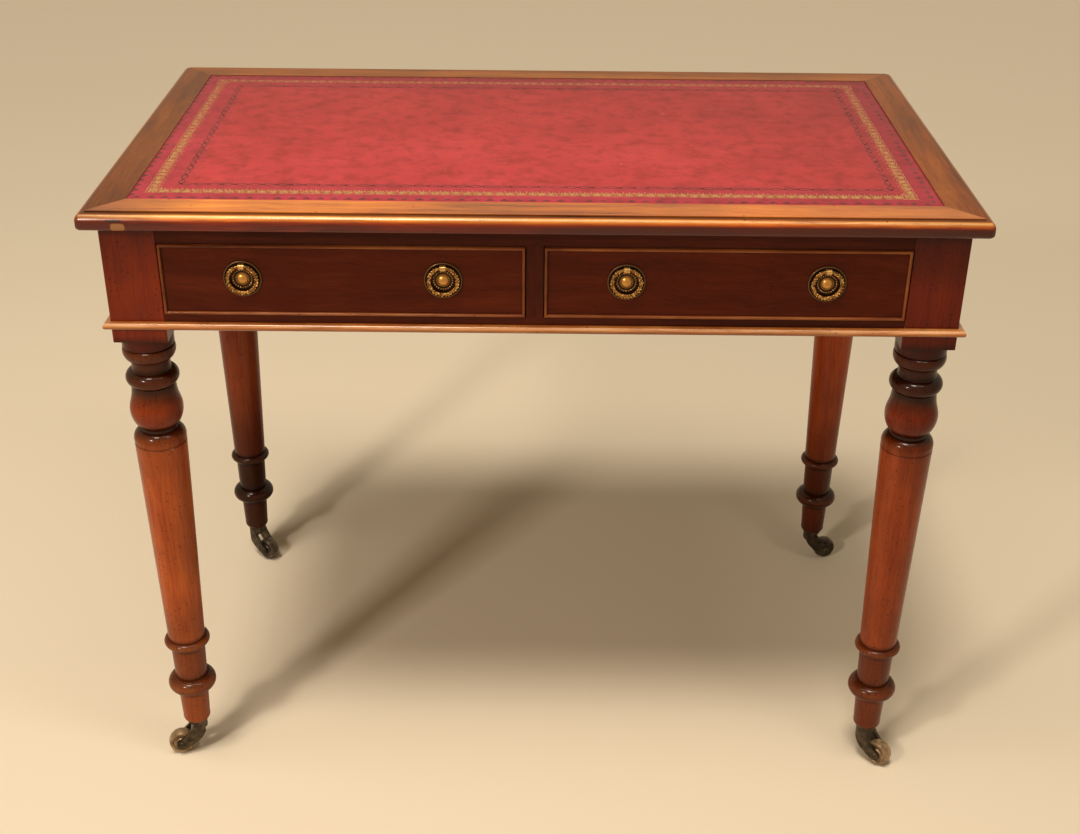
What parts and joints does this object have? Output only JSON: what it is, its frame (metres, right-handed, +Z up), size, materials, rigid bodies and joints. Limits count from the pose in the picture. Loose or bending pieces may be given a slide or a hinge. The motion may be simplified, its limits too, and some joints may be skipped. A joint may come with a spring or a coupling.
{
  "type": "writing desk",
  "caption": "Wooden writing table with a leather-lined moulded top, cock-beaded drawers with ring pulls, and turned legs on swivelling castors.",
  "frame": {"origin": "on the floor, under the middle of the top", "axes": "+Z up, +X to the right along the width, drawers face -Y"},
  "size_m": [0.93, 0.535, 0.736],
  "materials": {
    "mahogany": "French polished, worn",
    "secondary_wood": "bare, aged pine",
    "drawer_lining": "bare, aged",
    "leather": "waxed, tooled border",
    "handle_brass": "aged, polished on the high spots",
    "castor_brass": "dark patina",
    "steel": "dulled"
  },
  "bodies": {
    "frame": {"top_core_panel": "secondary_wood", "drawer_runners": "secondary_wood", "drawer_guides": "secondary_wood", "drawer_kickers": "secondary_wood", "drawer_stops": "secondary_wood", "glue_blocks": "secondary_wood", "top_band_front": "mahogany", "top_band_back": "mahogany", "top_band_left": "mahogany", "top_band_right": "mahogany", "leg_front_left": "mahogany", "leg_front_right": "mahogany", "leg_rear_left": "mahogany", "leg_rear_right": "mahogany", "apron_left": "mahogany", "apron_right": "mahogany", "apron_back": "mahogany", "rail_above_drawers": "mahogany", "rail_below_drawers": "mahogany", "drawer_divider": "mahogany", "frieze_beads": "mahogany", "writing_leather": "leather", "top_screws": "steel", "castor_screws": "steel", "castor_plates": "castor_brass"},
    "drawer_left": {"drawer_left_front": "mahogany", "drawer_left_cock_bead": "mahogany", "drawer_left_side_inner": "drawer_lining", "drawer_left_side_outer": "drawer_lining", "drawer_left_back": "drawer_lining", "drawer_left_bottom": "drawer_lining", "drawer_left_handle_plates": "handle_brass", "drawer_left_handle_eyebolts": "handle_brass", "drawer_left_handle_nuts": "handle_brass"},
    "drawer_right": {"drawer_right_front": "mahogany", "drawer_right_cock_bead": "mahogany", "drawer_right_side_inner": "drawer_lining", "drawer_right_side_outer": "drawer_lining", "drawer_right_back": "drawer_lining", "drawer_right_bottom": "drawer_lining", "drawer_right_handle_plates": "handle_brass", "drawer_right_handle_eyebolts": "handle_brass", "drawer_right_handle_nuts": "handle_brass"},
    "ring_left_inner": {"ring_pull_left_inner": "handle_brass"},
    "ring_left_outer": {"ring_pull_left_outer": "handle_brass"},
    "ring_right_inner": {"ring_pull_right_inner": "handle_brass"},
    "ring_right_outer": {"ring_pull_right_outer": "handle_brass"},
    "castor_front_left": {"castor_horn_front_left": "castor_brass", "castor_axle_front_left": "castor_brass"},
    "wheel_front_left": {"castor_wheel_front_left": "castor_brass"},
    "castor_front_right": {"castor_horn_front_right": "castor_brass", "castor_axle_front_right": "castor_brass"},
    "wheel_front_right": {"castor_wheel_front_right": "castor_brass"},
    "castor_rear_left": {"castor_horn_rear_left": "castor_brass", "castor_axle_rear_left": "castor_brass"},
    "wheel_rear_left": {"castor_wheel_rear_left": "castor_brass"},
    "castor_rear_right": {"castor_horn_rear_right": "castor_brass", "castor_axle_rear_right": "castor_brass"},
    "wheel_rear_right": {"castor_wheel_rear_right": "castor_brass"}
  },
  "joints": [
    {"name": "drawer_left_slide", "type": "slide", "parent": "frame", "child": "drawer_left", "axis": [0, -1, 0], "range_m": [0, 0.32]},
    {"name": "drawer_right_slide", "type": "slide", "parent": "frame", "child": "drawer_right", "axis": [0, -1, 0], "range_m": [0, 0.32]},
    {"name": "ring_left_inner_swing", "type": "hinge", "parent": "drawer_left", "child": "ring_left_inner", "pos_m": [-0.095, -0.25315, 0.67405], "axis": [-1, 0, 0], "range_deg": [0, 150]},
    {"name": "ring_left_outer_swing", "type": "hinge", "parent": "drawer_left", "child": "ring_left_outer", "pos_m": [-0.303, -0.25315, 0.67405], "axis": [-1, 0, 0], "range_deg": [0, 150]},
    {"name": "ring_right_inner_swing", "type": "hinge", "parent": "drawer_right", "child": "ring_right_inner", "pos_m": [0.095, -0.25315, 0.67405], "axis": [-1, 0, 0], "range_deg": [0, 150]},
    {"name": "ring_right_outer_swing", "type": "hinge", "parent": "drawer_right", "child": "ring_right_outer", "pos_m": [0.303, -0.25315, 0.67405], "axis": [-1, 0, 0], "range_deg": [0, 150]},
    {"name": "castor_front_left_swivel", "type": "hinge", "parent": "frame", "child": "castor_front_left", "pos_m": [-0.418, -0.2205, 0.05], "axis": [0, 0, 1], "continuous": true},
    {"name": "wheel_front_left_spin", "type": "hinge", "parent": "castor_front_left", "child": "wheel_front_left", "pos_m": [-0.43952, -0.22507, 0.016], "axis": [0.2079, -0.9781, 0], "continuous": true},
    {"name": "castor_front_right_swivel", "type": "hinge", "parent": "frame", "child": "castor_front_right", "pos_m": [0.418, -0.2205, 0.05], "axis": [0, 0, 1], "continuous": true},
    {"name": "wheel_front_right_spin", "type": "hinge", "parent": "castor_front_right", "child": "wheel_front_right", "pos_m": [0.43435, -0.23522, 0.016], "axis": [0.6691, 0.7431, 0], "continuous": true},
    {"name": "castor_rear_left_swivel", "type": "hinge", "parent": "frame", "child": "castor_rear_left", "pos_m": [-0.418, 0.2205, 0.05], "axis": [0, 0, 1], "continuous": true},
    {"name": "wheel_rear_left_spin", "type": "hinge", "parent": "castor_rear_left", "child": "wheel_rear_left", "pos_m": [-0.40066, 0.20696, 0.016], "axis": [0.6157, 0.788, 0], "continuous": true},
    {"name": "castor_rear_right_swivel", "type": "hinge", "parent": "frame", "child": "castor_rear_right", "pos_m": [0.418, 0.2205, 0.05], "axis": [0, 0, 1], "continuous": true},
    {"name": "wheel_rear_right_spin", "type": "hinge", "parent": "castor_rear_right", "child": "wheel_rear_right", "pos_m": [0.43952, 0.22507, 0.016], "axis": [-0.2079, 0.9781, 0], "continuous": true}
  ]
}
